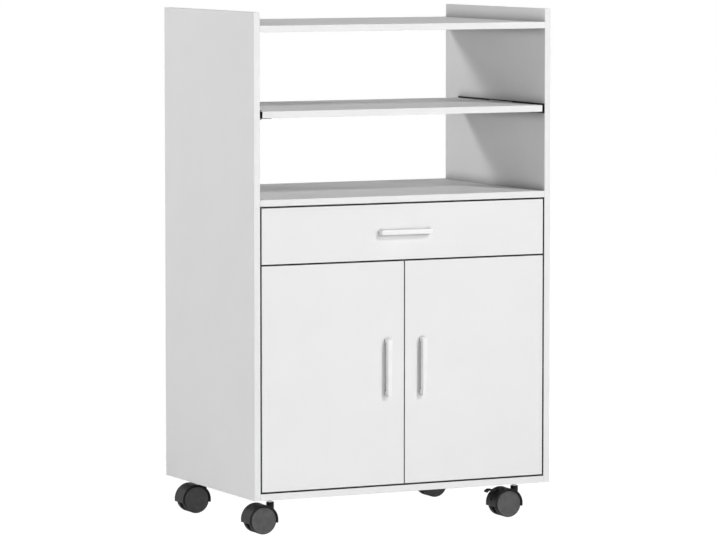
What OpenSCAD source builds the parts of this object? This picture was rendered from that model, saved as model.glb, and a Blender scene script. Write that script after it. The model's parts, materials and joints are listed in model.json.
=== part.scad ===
// Microwave cart on twin-wheel casters: two open bays with a pull-out shelf between them,
// a drawer on ball slides and a two-door cupboard on concealed cup hinges.
// Frame: X to the right, Y to the back, Z up from the floor; the origin is under the middle.

/* [Cabinet] */
// Width over both side panels
cart_w = 600; // [540:1:700]
// Depth of the side panels
cart_d = 400; // [390:1:480]
// Thickness of the side panels and fixed boards
board_t = 12; // [12:1:16]
// Chamfer along the banded edges of the boards
edge_band = 0.4; // [0.2:0.1:0.8]
// Height of each door
door_h = 407; // [300:1:480]
// Height of the drawer front
drawer_front_h = 101; // [98:1:150]
// Clear height of the lower open bay
lower_bay_h = 146; // [100:1:260]
// Clear height of the upper open bay
upper_bay_h = 141; // [100:1:260]
// How far the side panels stand above the top board
top_lip = 24; // [10:1:50]

/* [Fronts] */
// Thickness of the drawer front and the doors
front_t = 12; // [12:0.5:14]
// Gap round the inset fronts
reveal = 3; // [2.5:0.5:4]
// Gap between the two doors
door_gap = 2; // [1.5:0.5:4]

/* [Back and rail] */
// Thickness of the back panel
back_t = 3; // [2.5:0.5:4]
// Distance from the back panel to the rear edges of the side panels
back_inset = 10; // [6:1:16]
// Depth of the grooves that hold thin panels
groove_d = 6; // [4:0.5:7]
// Depth of the rail between drawer and doors
rail_d = 60; // [50:1:90]

/* [Pull-out shelf] */
// Depth of the sliding shelf board
shelf_d = 345; // [300:1:350]
// Room for a slide on each side of the shelf
shelf_gap = 5; // [5:0.25:7]
// Height of the shelf slides
shelf_slide_h = 17.5; // [17:0.5:20]
// How far the runner's foot reaches under the shelf
foot_w = 18; // [14:1:26]

/* [Drawer] */
// Height of the drawer sides
drawer_side_h = 70; // [60:1:76]
// Thickness of the drawer sides and back
drawer_t = 12; // [10:1:14]
// Length of the drawer sides
drawer_side_d = 330; // [300:1:340]
// Thickness of the drawer bottom
drawer_bottom_t = 3; // [2.5:0.5:4]
// Room for a slide on each side of the drawer
drawer_gap = 10; // [8:0.5:13]
// Height of the drawer slides
drawer_slide_h = 27; // [24:0.5:32]

/* [Slides] */
// Length of every slide
slide_len = 340; // [310:1:360]
// How far a slide pulls out
slide_travel = 240; // [160:5:250]
// Thickness of the slide steel
sheet_t = 1; // [0.8:0.1:1.2]
// Thickness of the ball cage
cage_t = 0.5; // [0.4:0.05:0.6]
// Number of balls in each row
ball_count = 8; // [4:1:10]

/* [Handles] */
// Length of a handle
handle_len = 104; // [90:1:140]
// Height of a handle over the front
handle_reach = 14; // [13:0.5:25]
// Width of the handle bar
handle_w = 8.7; // [8:0.1:12]
// Thickness of the handle bar
handle_t = 7.5; // [6:0.1:8]
// Width of each handle leg
handle_leg = 8; // [7:0.1:10]
// Radius of the handle's outer corners
handle_r = 1.6; // [0.5:0.1:3]
// Distance from the meeting edge of a door to its handle
handle_edge = 34.4; // [20:0.1:60]
// Height of the door handles' middle above the doors' lower edge
handle_up = 215; // [100:1:250]

/* [Hinges] */
// Diameter of the hinge cup
cup_d = 35; // [33:0.5:36]
// Depth of the cup in the door
cup_depth = 10; // [9.5:0.1:10.5]
// Board left between the cup and the door's edge
cup_edge = 3; // [3:0.5:5]
// Distance from the hinge pin to the door's edge
pin_edge = 9; // [8.5:0.25:10]
// Distance of each hinge from the door's end
hinge_inset = 80; // [60:1:120]

/* [Casters] */
// Height from the floor to the cabinet
caster_h = 65; // [64:1:70]
// Diameter of the wheels
wheel_d = 50; // [46:1:52]
// Width of one wheel
wheel_w = 14; // [12:0.5:15]
// Distance from the swivel axis to the axle
trail = 20.7; // [20:0.1:23]
// Swivel axis to the outer face of a side panel
caster_side = 50.3; // [45:0.1:70]
// Front swivel axis to the front of the cabinet
caster_front = 43; // [40:1:70]
// Rear swivel axis to the back of the cabinet
caster_back = 57; // [45:1:80]
// Size of the square top plate
plate_w = 42; // [40:1:48]
// Thickness of the top plate
plate_t = 2; // [1.5:0.1:3]
// How far the hood covers below the axle
hood_skirt = 5; // [2:0.5:7]
// Thickness of the hood's wall
hood_t = 2.6; // [1.6:0.1:3]
// Bare length of the steel stem between hood and top plate
stem_h = 7; // [3:0.5:8]

/* [Hidden] */
$fn = 48;
fit = 0.05;       // clearance of a part in its own bore or groove
gap = 0.3;        // clearance of moving parts from each other
past = 1;         // how far a cut runs past a face

// Widths and heights that follow from the sizes above
front_y = (handle_reach - cart_d) / 2;
inner_w = cart_w - 2 * board_t;
front_w = inner_w - 2 * reveal;
door_w = (front_w - door_gap) / 2;
door_z = board_t + reveal;
drawer_z = door_z + door_h + reveal;
cabinet_top_z = drawer_z + drawer_front_h + reveal;
shelf_z = cabinet_top_z + board_t + lower_bay_h;
top_z = shelf_z + board_t + upper_bay_h;
panel_h = top_z + board_t + top_lip;
back_y = cart_d - back_inset - back_t;
rail_y = front_t / 2 + norm([pin_edge, front_t / 2]) + 0.5;
rail_z = drawer_z - reveal / 2 - board_t / 2;

// Drawer box
box_up = 12;         // drawer box above the lower edge of its front
box_z = drawer_z + box_up;
box_x = inner_w / 2 - drawer_gap;
bottom_z = box_z + 8;
drawer_back_y = front_t + drawer_side_d - drawer_t;
cam_edge = 24;       // cam centre to the end of its board
cam_down = 22;       // front cams below the upper edge of the drawer sides
front_cam_z = box_z + drawer_side_h - cam_down;

// Slides: balls run halfway between the panel and the sliding part
slide_y = 1;
shelf_slide_z = shelf_z + board_t / 2;
drawer_slide_up = 30;
drawer_slide_z = box_z + drawer_slide_up;
shelf_ball = 2.4;
drawer_ball = 4;
channel_lip = 0.4;   // gap between a channel's lips and the runner's web
cage_len = slide_len - slide_travel - 10;
cage_y = slide_travel / 2 + 4;
channel_screw_y = [36, 164, 292];
runner_screw_y = [24, 152, 280];

// Cam fittings in the fixed boards
cam_r = 6;
bolt_r = 2.5;
cam_h = board_t / 2 + bolt_r + 0.5;
bolt_seat = 8;       // bolt length in the side panel
dowel_r = 3;
dowel_seat = 9;
dowel_len = 25;
cam_y = 90;          // cams from the front and rear edges of a board
dowel_y = 40;

// Hinges, measured from the inner face of the panel
pin_x = reveal + pin_edge;
pin_y = front_t / 2;
pin_r = 1.25;
eye_r = 2.6;
cup_wall = 0.8;
cup_x = reveal + cup_edge + cup_d / 2;
arm_w = 12;          // height of the hinge arm
arm_t = 2;
plate_y = 44;        // middle of the mounting plate behind the front edge
plate_l = 36;
mount_t = 3;
arm_x = mount_t + arm_t / 2;
cup_screw_z = 24;
hinge_z = [door_z + hinge_inset, door_z + door_h - hinge_inset];
hinge_screw_z = 16;

// Screws: radius, length and head of the small countersunk screws
screw_r = 1.5;
screw_len = 10;
screw_head_r = 3;
screw_head_h = 1.5;
handle_screw_r = 2;

// Casters
wheel_r = wheel_d / 2;
web = 8;             // middle web of the hood
web_gap = 0.4;
hood_gap = 0.6;      // room between a wheel's tread and the hood
hood_r = wheel_r + hood_gap + hood_t;
hood_half = web / 2 + web_gap + wheel_w + 0.6;
axle_r = 3;
axle_half = web / 2 + web_gap + wheel_w - 3;
king_r = 4;
king_len = 15;
boss_r = 7;
boss_foot = wheel_r + 4;
boss_top = caster_h - plate_t - stem_h;
plate_hole = plate_w / 2 - 5;
lever_t = 3.6;
lever_pin = [-13, 12];
lever_pin_r = 1.25;
lever_eye = 3.2;
slot_path = [[-12, 8.4], [-15.5, 9.2], [-29.5, 13.5], [-33, 30], [-13, 30], [-9.4, 14]];
recess_z = 7.6;      // round recess in a braked hood, above the axle
recess_r = 3;
recess_x = -23.2;    // floor of that recess
swivel_x = cart_w / 2 - caster_side;
swivel_front_y = caster_front;
swivel_rear_y = cart_d - caster_back;

// Moves a piece from the cabinet's own frame (front lower edge) to its place on the casters
module in_cabinet() {
  translate([0, front_y, caster_h]) children();
}

// Left side: x is measured from the inner face of the left panel; the right side mirrors it
module at_side(s) {
  mirror([s > 0 ? 1 : 0, 0, 0])
    translate([-inner_w / 2, 0, 0])
      children();
}

module both_sides() {
  at_side(-1) children();
  at_side(1) children();
}

// Rectangle with chamfered corners
module banded_section(a, b, c) {
  polygon([[c, 0], [a - c, 0], [a, c], [a, b - c], [a - c, b], [c, b], [0, b - c], [0, c]]);
}

// Board across the cabinet: only the front and rear edges are banded
module cross_board(w, d, t, c = edge_band) {
  translate([-w / 2, 0, 0])
    rotate([90, 0, 90])
      linear_extrude(w)
        banded_section(d, t, c);
}

// Slab banded along all its edges
module slab(w, d, h, c = edge_band) {
  intersection() {
    linear_extrude(h) banded_section(w, d, c);
    rotate([90, 0, 90]) linear_extrude(w) banded_section(d, h, c);
    translate([0, d, 0]) rotate([90, 0, 0]) linear_extrude(d) banded_section(w, h, c);
  }
}

function unit(v) = v / norm(v);
function left_of(p, i) = let (run = unit(p[i + 1] - p[i])) [-run[1], run[0]];

// Corner of a bent strip beside the centre line's point i, at the distance t to its left
function strip_corner(p, i, t) =
  let (
    last = len(p) - 1,
    a = left_of(p, max(i - 1, 0)),
    b = left_of(p, min(i, last - 1)),
    m = unit(a + b)
  )
  p[i] + m * t / (m * a);

// Strip of constant thickness along a bent centre line
module strip(points, t) {
  n = len(points) - 1;
  polygon(concat(
    [for (i = [0:n]) strip_corner(points, i, t / 2)],
    [for (i = [n:-1:0]) strip_corner(points, i, -t / 2)]
  ));
}

// Countersunk screw along +X, its head flush at x = 0; the same shape with play cuts its hole
module flat_screw(l = screw_len, play = 0) {
  rotate([0, 90, 0]) {
    translate([0, 0, -play]) cylinder(h = l + 2 * play, r = screw_r + play);
    translate([0, 0, -play])
      cylinder(h = screw_head_h + play, r1 = screw_head_r + play, r2 = screw_r + play);
  }
}

// ---- cam fittings ----

// Boards held by cams: underside, front edge, depth, side of the pocket (-1 under, 1 on top)
fixed_boards = [
  [top_z, 0, cart_d, -1],
  [cabinet_top_z, 0, cart_d, -1],
  [0, 0, back_y, 1],
  [rail_z, rail_y, rail_d, -1]
];

function cam_places(b) =
  b[2] > 2 * cam_y ? [b[1] + cam_y, b[1] + b[2] - cam_y] : [b[1] + b[2] / 3];
function dowel_places(b) =
  b[2] > 2 * cam_y ? [b[1] + dowel_y, b[1] + b[2] - dowel_y] : [b[1] + b[2] * 3 / 4];

// One cam: a drum with a slot for the bolt's head, opening towards the panel
module cam(play = 0) {
  difference() {
    translate([cam_edge, 0, -play]) cylinder(h = cam_h + 2 * play, r = cam_r + play);
    if (play == 0) {
      translate([cam_edge - cam_r - past, -bolt_r - gap, cam_h - board_t / 2 - bolt_r - gap])
        cube([cam_r + past + bolt_r, 2 * (bolt_r + gap), board_t]);
      translate([cam_edge, 0, -past]) cylinder(h = past + 2, r = 2);
    }
  }
}

module bolt(play = 0) {
  translate([-bolt_seat - play, 0, 0])
    rotate([0, 90, 0])
      cylinder(h = bolt_seat + cam_edge + play, r = bolt_r + play);
}

module dowel(play = 0) {
  translate([-dowel_seat - play, 0, 0])
    rotate([0, 90, 0])
      cylinder(h = dowel_len + 2 * play, r = dowel_r + play);
}

module place_cams(b) {
  for (y = cam_places(b))
    translate([0, y, b[3] < 0 ? b[0] : b[0] + board_t])
      mirror([0, 0, b[3] < 0 ? 0 : 1])
        children();
}

module place_bolts(b) {
  for (y = cam_places(b)) translate([0, y, b[0] + board_t / 2]) children();
}

module place_dowels(b) {
  for (y = dowel_places(b)) translate([0, y, b[0] + board_t / 2]) children();
}

// Pockets and bores that a fixed board needs at both ends
module board_bores(b) {
  both_sides() {
    place_cams(b) cam(play = fit);
    place_bolts(b) bolt(play = fit);
    place_dowels(b) dowel(play = fit);
  }
}

module cam_locks() {
  color("silver") in_cabinet() both_sides()
    for (b = fixed_boards) place_cams(b) cam();
}

module cam_bolts() {
  color("silver") in_cabinet() both_sides()
    for (b = fixed_boards) place_bolts(b) bolt();
}

module dowels() {
  color("burlywood") in_cabinet() both_sides()
    for (b = fixed_boards) place_dowels(b) dowel();
}

// ---- carcass ----

module back_sheet(play = 0) {
  translate([-inner_w / 2 - groove_d + fit - play, back_y - play, -past * play])
    cube([inner_w + 2 * (groove_d - fit + play), back_t + 2 * play,
          cabinet_top_z + groove_d - fit + play]);
}

module side_panel(s) {
  color("white") in_cabinet() difference() {
    at_side(s) translate([-board_t, 0, 0]) slab(board_t, cart_d, panel_h);
    back_sheet(play = fit);
    at_side(s) {
      for (b = fixed_boards) {
        place_bolts(b) bolt(play = fit);
        place_dowels(b) dowel(play = fit);
      }
      panel_screw_set(play = fit);
    }
  }
}

module fixed_board(b) {
  difference() {
    translate([0, b[1], b[0]]) cross_board(inner_w, b[2], board_t);
    board_bores(b);
    children();
  }
}

module top_board() {
  color("white") in_cabinet() fixed_board(fixed_boards[0]);
}

module cabinet_top_board() {
  color("white") in_cabinet() fixed_board(fixed_boards[1]) back_sheet(play = fit);
}

module bottom_board() {
  color("white") in_cabinet() fixed_board(fixed_boards[2]) caster_screw_set(play = fit);
}

module divider_rail() {
  color("white") in_cabinet() fixed_board(fixed_boards[3]);
}

module back_panel() {
  color("whitesmoke") in_cabinet() back_sheet();
}

// ---- ball slides, seen from the inner face of the panel; z = 0 is the slide's middle ----

function race_r(h, ball) = h / 2 - sheet_t - gap - ball / 2;
function runner_half(h, ball) = h / 2 - sheet_t - 2 * gap - ball;

// Outer channel on the panel: web, two lips and a bent stop at the rear
module slide_channel(h, room) {
  reach = room - sheet_t - channel_lip;
  difference() {
    translate([0, slide_y, -h / 2]) {
      cube([sheet_t, slide_len, h]);
      cube([reach, slide_len, sheet_t]);
      translate([0, 0, h - sheet_t]) cube([reach, slide_len, sheet_t]);
      translate([0, slide_len - sheet_t, 0]) cube([reach, sheet_t, h]);
    }
    channel_screws(play = fit);
  }
}

module channel_screws(play = 0) {
  for (y = channel_screw_y)
    translate([sheet_t, y, 0]) mirror([1, 0, 0]) flat_screw(play = play);
}

// Inner runner: a track that faces the channel between the two rows of balls
module slide_runner(h, room, ball) {
  half = runner_half(h, ball);
  lip_x = sheet_t + 2 * gap + cage_t;
  run_len = slide_len - sheet_t - gap;
  translate([0, slide_y, 0]) {
    translate([room - sheet_t, 0, -half]) cube([sheet_t, run_len, 2 * half]);
    translate([lip_x, 0, -half]) cube([room - lip_x, run_len, sheet_t]);
    translate([lip_x, 0, half - sheet_t]) cube([room - lip_x, run_len, sheet_t]);
  }
}

// Cage with its balls: a thin channel that holds a row of balls above and below the runner
module ball_cage(h, room, ball) {
  row_z = race_r(h, ball);
  edge = row_z + cage_t / 2;
  lip = (room + ball) / 2 - 0.1;
  first = cage_y + cage_len / ball_count / 2;
  step = cage_len / ball_count;
  difference() {
    translate([sheet_t + gap, cage_y, 0]) {
      translate([0, 0, -edge]) cube([cage_t, cage_len, 2 * edge]);
      for (z = [-edge, edge - cage_t])
        translate([0, 0, z]) cube([lip - sheet_t - gap, cage_len, cage_t]);
    }
    for (i = [0:ball_count - 1], z = [-row_z, row_z])
      translate([room / 2, first + i * step, z]) sphere(r = ball / 2 + fit, $fn = 24);
  }
  for (i = [0:ball_count - 1], z = [-row_z, row_z])
    translate([room / 2, first + i * step, z]) sphere(r = ball / 2, $fn = 24);
}

module shelf_channel(s) {
  color("dimgray") in_cabinet() at_side(s)
    translate([0, 0, shelf_slide_z]) slide_channel(shelf_slide_h, shelf_gap);
}

module drawer_channel(s) {
  color("silver") in_cabinet() at_side(s)
    translate([0, front_t, drawer_slide_z]) slide_channel(drawer_slide_h, drawer_gap);
}

// The shelf's runner has a foot that carries the shelf from below
module shelf_runner(s) {
  half = runner_half(shelf_slide_h, shelf_ball);
  color("dimgray") in_cabinet() at_side(s) difference() {
    union() {
      translate([0, 0, shelf_slide_z]) slide_runner(shelf_slide_h, shelf_gap, shelf_ball);
      translate([shelf_gap - sheet_t, slide_y, shelf_z - sheet_t]) {
        cube([foot_w + sheet_t, shelf_d - 2 * slide_y, sheet_t]);
        cube([sheet_t, shelf_d - 2 * slide_y, sheet_t + board_t / 2 - half]);
      }
    }
    shelf_screw_set(play = fit);
  }
}

module drawer_runner(s) {
  color("silver") in_cabinet() at_side(s) difference() {
    translate([0, front_t, drawer_slide_z])
      slide_runner(drawer_slide_h, drawer_gap, drawer_ball);
    drawer_runner_screws(play = fit);
  }
}

module shelf_ball_cages() {
  color("gray") in_cabinet() both_sides()
    translate([0, 0, shelf_slide_z]) ball_cage(shelf_slide_h, shelf_gap, shelf_ball);
}

module drawer_ball_cages() {
  color("gray") in_cabinet() both_sides()
    translate([0, front_t, drawer_slide_z])
      ball_cage(drawer_slide_h, drawer_gap, drawer_ball);
}

// Screws in the inner face of a side panel: both channels and the hinge plates
module panel_screw_set(play = 0) {
  translate([0, 0, shelf_slide_z]) channel_screws(play);
  translate([0, front_t, drawer_slide_z]) channel_screws(play);
  for (z = hinge_z, side = [-1, 1])
    translate([mount_t, plate_y, z + side * hinge_screw_z])
      mirror([1, 0, 0]) flat_screw(play = play);
}

module panel_screws() {
  color("silver") in_cabinet() both_sides() panel_screw_set();
}

// ---- pull-out shelf ----

module shelf_screw_set(play = 0) {
  for (y = runner_screw_y)
    translate([shelf_gap + foot_w / 2, y, shelf_z - sheet_t])
      rotate([0, -90, 0]) flat_screw(play = play);
}

module sliding_shelf() {
  w = inner_w - 2 * shelf_gap;
  color("white") in_cabinet() difference() {
    translate([-w / 2, 0, shelf_z]) slab(w, shelf_d, board_t);
    both_sides() shelf_screw_set(play = fit);
  }
}

module shelf_screws() {
  color("dimgray") in_cabinet() both_sides() shelf_screw_set();
}

// ---- drawer ----

module drawer_bottom_sheet(play = 0) {
  w = box_x - drawer_t + groove_d - fit + play;
  y0 = front_t - groove_d + fit - play;
  y1 = drawer_back_y + groove_d - fit + play;
  translate([-w, y0, bottom_z - play]) cube([2 * w, y1 - y0, drawer_bottom_t + 2 * play]);
}

module drawer_runner_screws(play = 0) {
  for (y = runner_screw_y)
    translate([drawer_gap - sheet_t, front_t + y, drawer_slide_z]) flat_screw(8, play);
}

// Screws through the drawer sides into the drawer back
module drawer_back_screws(play = 0) {
  for (z = [box_z + 14, box_z + drawer_side_h - 14])
    translate([drawer_gap, drawer_back_y + drawer_t / 2, z])
      flat_screw(drawer_t + 14, play);
}

// Cam in a drawer side and its bolt in the drawer front
module drawer_cam(play = 0) {
  depth = drawer_t / 2 + bolt_r + 0.5;
  translate([drawer_gap + drawer_t + play, front_t + cam_edge, front_cam_z])
    rotate([0, -90, 0]) difference() {
      cylinder(h = depth + 2 * play, r = cam_r + play);
      if (play == 0)
        translate([-bolt_r - gap, -cam_r - past, drawer_t / 2 - bolt_r - gap])
          cube([2 * (bolt_r + gap), cam_r + past + bolt_r, board_t]);
    }
}

module drawer_bolt(play = 0, back = gap) {
  translate([drawer_gap + drawer_t / 2, front_t - bolt_seat - play, front_cam_z])
    rotate([-90, 0, 0])
      cylinder(h = bolt_seat + cam_edge - back + play, r = bolt_r + play);
}

module drawer_side(s) {
  color("white") in_cabinet() difference() {
    at_side(s) translate([drawer_gap, front_t, box_z])
      slab(drawer_t, drawer_side_d, drawer_side_h);
    drawer_bottom_sheet(play = fit);
    at_side(s) {
      drawer_runner_screws(play = fit);
      drawer_back_screws(play = fit);
      drawer_cam(play = fit);
      drawer_bolt(play = fit, back = 0);
    }
  }
}

module drawer_back() {
  w = 2 * (box_x - drawer_t);
  color("white") in_cabinet() difference() {
    translate([0, drawer_back_y, box_z]) cross_board(w, drawer_t, drawer_side_h);
    drawer_bottom_sheet(play = fit);
    both_sides() drawer_back_screws(play = fit);
  }
}

module drawer_bottom() {
  color("whitesmoke") in_cabinet() drawer_bottom_sheet();
}

module drawer_front() {
  color("white") in_cabinet() difference() {
    translate([-front_w / 2, 0, drawer_z]) slab(front_w, front_t, drawer_front_h);
    drawer_bottom_sheet(play = fit);
    both_sides() drawer_bolt(play = fit);
    drawer_handle_place() handle_screws(play = fit);
  }
}

module drawer_fasteners() {
  color("silver") in_cabinet() {
    both_sides() {
      drawer_runner_screws();
      drawer_back_screws();
      drawer_cam();
      drawer_bolt();
    }
    drawer_handle_place() handle_screws();
  }
}

// ---- handles ----

// Side view of the bar and its two legs; y = 0 is the face that it stands on
module handle_profile() {
  l = handle_len / 2;
  difference() {
    union() {
      translate([-l, -handle_reach + handle_r]) square([2 * l, handle_reach - handle_r]);
      translate([-l + handle_r, -handle_reach]) square([2 * (l - handle_r), handle_reach]);
      for (x = [-l + handle_r, l - handle_r])
        translate([x, -handle_reach + handle_r]) circle(r = handle_r);
    }
    translate([-l + handle_leg, -handle_reach + handle_t])
      square([2 * (l - handle_leg), handle_reach]);
  }
}

module handle() {
  difference() {
    translate([0, 0, -handle_w / 2]) linear_extrude(handle_w) handle_profile();
    handle_screws(play = fit);
  }
}

// Screws from the back of the front into the handle's legs, head behind the front
module handle_screws(play = 0) {
  depth = handle_reach - 4;
  for (x = [-1, 1] * (handle_len - handle_leg) / 2)
    translate([x, 0, 0]) rotate([90, 0, 0]) {
      translate([0, 0, -front_t - play])
        cylinder(h = front_t + depth + 2 * play, r = handle_screw_r + play);
      if (play == 0) translate([0, 0, -front_t - 2]) cylinder(h = 2, r = 4);
    }
}

module drawer_handle_place() {
  translate([0, 0, drawer_z + drawer_front_h / 2]) children();
}

module door_handle_place(s) {
  translate([s * (door_gap / 2 + handle_edge), 0, door_z + handle_up])
    rotate([0, 90, 0]) children();
}

module drawer_handle() {
  color("white") in_cabinet() drawer_handle_place() handle();
}

module door_handle(s) {
  color("white") in_cabinet() door_handle_place(s) handle();
}

// ---- doors and hinges ----

module place_hinges(s) {
  at_side(s) for (z = hinge_z) translate([0, 0, z]) children();
}

module cup_recess() {
  translate([cup_x, front_t - cup_depth, 0])
    rotate([-90, 0, 0]) cylinder(h = cup_depth + past, r = cup_d / 2);
}

module cup_screws(play = 0) {
  for (z = [-cup_screw_z, cup_screw_z])
    translate([cup_x, front_t + sheet_t, z])
      rotate([0, 0, -90]) flat_screw(8, play);
}

module door(s) {
  color("white") in_cabinet() difference() {
    at_side(s) translate([reveal, 0, door_z]) slab(door_w, front_t, door_h);
    place_hinges(s) {
      cup_recess();
      cup_screws(play = fit);
    }
    door_handle_place(s) handle_screws(play = fit);
  }
}

module door_screws(s) {
  color("silver") in_cabinet() {
    place_hinges(s) cup_screws();
    door_handle_place(s) handle_screws();
  }
}

// Pressed cup with a flange on the door's back, two lugs and the hinge pin across it
module hinge_cup() {
  outer_r = cup_d / 2 - fit;
  inner_r = outer_r - cup_wall;
  floor_y = front_t - cup_depth + fit;
  lug_z = arm_w / 2 + gap;
  chord = sqrt(pow(inner_r, 2) - pow(cup_x - pin_x, 2));
  difference() {
    union() {
      translate([cup_x, floor_y, 0]) rotate([-90, 0, 0])
        cylinder(h = front_t - floor_y, r = outer_r);
      translate([cup_x, front_t, 0]) rotate([-90, 0, 0])
        cylinder(h = sheet_t, r = outer_r + 1.5);
      translate([cup_x - 6, front_t, -cup_screw_z - 5])
        cube([12, sheet_t, 2 * cup_screw_z + 10]);
    }
    difference() {
      translate([cup_x, floor_y + cup_wall, 0]) rotate([-90, 0, 0])
        cylinder(h = cup_depth + 2 * sheet_t, r = inner_r);
      for (m = [0, 1]) mirror([0, 0, m])
        translate([cup_x - cup_d / 2, floor_y, lug_z])
          cube([pin_x + 2.2 - cup_x + cup_d / 2, pin_y + 2.2 - floor_y, cup_d / 2]);
    }
    translate([pin_x, pin_y, -chord]) cylinder(h = 2 * chord, r = pin_r + fit / 2);
    cup_screws(play = fit);
  }
  translate([pin_x, pin_y, -chord + fit]) cylinder(h = 2 * (chord - fit), r = pin_r);
}

module hinge_cups(s) {
  color("silver") in_cabinet() place_hinges(s) hinge_cup();
}

// Cranked arm: from the pin out of the cup's mouth, round the door's edge, back to the plate
module hinge_arm() {
  path = [
    [pin_x, pin_y],
    [pin_x + 10, pin_y + 2.1],
    [pin_x + 13.5, front_t + 1.5],
    [pin_x + 10.5, front_t + 7],
    [pin_x, front_t + 9],
    [arm_x + 1.5, front_t + 11],
    [arm_x, front_t + 14],
    [arm_x, plate_y + plate_l / 2 - 2]
  ];
  difference() {
    union() {
      translate([0, 0, -arm_w / 2]) linear_extrude(arm_w) {
        strip(path, arm_t);
        translate([pin_x, pin_y]) circle(r = eye_r);
      }
      for (z = [-arm_w / 2, arm_w / 2 - sheet_t])
        translate([arm_x, front_t + 14, z])
          cube([4, plate_y + plate_l / 2 - front_t - 16, sheet_t]);
    }
    translate([pin_x, pin_y, -arm_w]) cylinder(h = 2 * arm_w, r = pin_r + fit);
  }
}

module hinge_arms() {
  color("silver") in_cabinet() for (s = [-1, 1]) place_hinges(s) hinge_arm();
}

// Cross-shaped mounting plate between the arm and the panel
module hinge_plate() {
  difference() {
    union() {
      translate([0, plate_y - plate_l / 2, -arm_w / 2 - 1])
        cube([mount_t, plate_l, arm_w + 2]);
      translate([0, plate_y - 6, -hinge_screw_z - 5])
        cube([mount_t, 12, 2 * hinge_screw_z + 10]);
    }
    for (z = [-hinge_screw_z, hinge_screw_z])
      translate([mount_t, plate_y, z]) mirror([1, 0, 0]) flat_screw(play = fit);
  }
}

module hinge_plates() {
  color("silver") in_cabinet() for (s = [-1, 1]) place_hinges(s) hinge_plate();
}

// ---- casters: swivel axis at x = 0, y = 0 and the floor at z = 0; the wheels trail to -X ----

module place_caster(sx, sy) {
  translate([sx * swivel_x, front_y + (sy < 0 ? swivel_front_y : swivel_rear_y), 0]) children();
}

module at_axle() {
  translate([-trail, 0, wheel_r]) children();
}

// Turns a shape about +Z into the same shape about the axle, towards -Y
module along_axle() {
  rotate([90, 0, 0]) children();
}

module caster_plate() {
  corner = 4;
  difference() {
    translate([0, 0, caster_h - plate_t]) linear_extrude(plate_t) {
      square([plate_w - 2 * corner, plate_w], center = true);
      square([plate_w, plate_w - 2 * corner], center = true);
      for (x = [-1, 1], y = [-1, 1])
        translate([x, y] * (plate_w / 2 - corner)) circle(r = corner);
    }
    plate_screws(play = 0.2);
  }
  translate([0, 0, caster_h - plate_t - king_len]) cylinder(h = king_len, r = king_r);
}

// Pan-head screws from below through the plate into the bottom board
module plate_screws(play = 0) {
  for (x = [-plate_hole, plate_hole], y = [-plate_hole, plate_hole])
    translate([x, y, caster_h - plate_t]) {
      translate([0, 0, -play]) cylinder(h = screw_len + 2 * play, r = screw_r + 0.3 + play);
      if (play == 0) translate([0, 0, -1.6]) cylinder(h = 1.6, r = 3.4);
    }
}

module caster_plates() {
  color("silver") for (sx = [-1, 1], sy = [-1, 1]) place_caster(sx, sy) caster_plate();
}

module caster_screws() {
  color("silver") for (sx = [-1, 1], sy = [-1, 1]) place_caster(sx, sy) plate_screws();
}

// The same screws as holes, seen from the cabinet's frame
module caster_screw_set(play) {
  translate([0, -front_y, -caster_h])
    for (sx = [-1, 1], sy = [-1, 1]) place_caster(sx, sy) plate_screws(play = play);
}

// Fender over both wheels, middle web, hub, swivel boss and, with a brake, the lever's slot
module caster_hood(braked) {
  skirt_box = 3 * hood_r;
  edge = 0.8;
  difference() {
    union() {
      at_axle() intersection() {
        along_axle() rotate_extrude()
          polygon([[0, -hood_half], [hood_r - edge, -hood_half], [hood_r, -hood_half + edge],
                   [hood_r, hood_half - edge], [hood_r - edge, hood_half], [0, hood_half]]);
        translate([-skirt_box / 2, -skirt_box / 2, -hood_skirt])
          cube([skirt_box, skirt_box, skirt_box]);
      }
      at_axle() along_axle() translate([0, 0, -web / 2]) cylinder(h = web, r = 8);
      translate([0, 0, boss_foot]) cylinder(h = boss_top - boss_foot, r = boss_r);
    }
    at_axle() {
      for (m = [0, 1]) mirror([0, m, 0])
        translate([0, -web / 2, 0]) along_axle() cylinder(h = hood_half, r = wheel_r + hood_gap);
      along_axle() translate([0, 0, -web]) cylinder(h = 2 * web, r = axle_r + fit / 2);
    }
    translate([0, 0, caster_h - plate_t - king_len - 1.5])
      cylinder(h = king_len + 5, r = king_r + fit);
    if (braked) at_axle() {
      along_axle() translate([0, 0, -lever_t / 2 - gap]) linear_extrude(lever_t + 2 * gap) {
        polygon(slot_path);
        translate(lever_pin) circle(r = lever_eye + gap);
      }
      translate([lever_pin[0], 0, lever_pin[1]]) along_axle()
        translate([0, 0, -web]) cylinder(h = 2 * web, r = lever_pin_r + fit / 2);
      translate([-hood_r - past, 0, recess_z]) rotate([0, 90, 0])
        cylinder(h = hood_r + past + recess_x, r = recess_r);
    }
  }
}

// Axle through the hub; a braked caster also has the pin of its lever
module caster_axle(braked) {
  at_axle() {
    along_axle() translate([0, 0, -axle_half]) cylinder(h = 2 * axle_half, r = axle_r);
    if (braked) translate([lever_pin[0], 0, lever_pin[1]]) along_axle()
      translate([0, 0, -web / 2]) cylinder(h = web, r = lever_pin_r);
  }
}

// Wheel on the side m (0 towards -Y, 1 towards +Y), closed on its outer face
module caster_wheel(m) {
  shoulder = 2.5;
  dish = 0.5;
  at_axle() mirror([0, m, 0]) translate([0, -web / 2 - web_gap, 0]) along_axle()
    difference() {
      rotate_extrude() {
        translate([0, shoulder]) square([wheel_r, wheel_w - 2 * shoulder]);
        square([wheel_r - shoulder, wheel_w]);
        for (z = [shoulder, wheel_w - shoulder])
          translate([wheel_r - shoulder, z]) circle(r = shoulder);
      }
      translate([0, 0, -past]) cylinder(h = wheel_w - 2.5 + past, r = axle_r + fit);
      translate([0, 0, wheel_w - dish]) cylinder(h = dish + past, r = wheel_r - 4.2);
    }
}

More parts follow.
